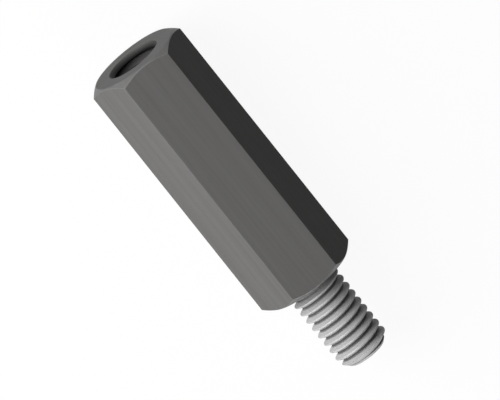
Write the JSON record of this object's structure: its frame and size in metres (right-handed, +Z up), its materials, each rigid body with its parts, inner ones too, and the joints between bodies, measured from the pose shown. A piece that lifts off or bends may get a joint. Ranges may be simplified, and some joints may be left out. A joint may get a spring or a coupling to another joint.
{
  "type": "hex standoff",
  "caption": "Steel hexagon standoff with a threaded stud on one end and a countersunk tapped blind hole in the other.",
  "frame": {"origin": "on the axis, in the plane of the shoulder that the stud stands out of", "axes": "+X along the axis, from the body towards the tip of the stud; +Z up, the outward normal of the upper flat, with the part lying on the lower flat; Y across two corners of the hexagon"},
  "size_m": [0.04, 0.0116, 0.01],
  "materials": {
    "steel": "plain drawn and turned steel, satin, darker on the flats and brighter on the turned thread"
  },
  "bodies": {
    "root": {"hex_standoff": "steel"}
  },
  "joints": []
}
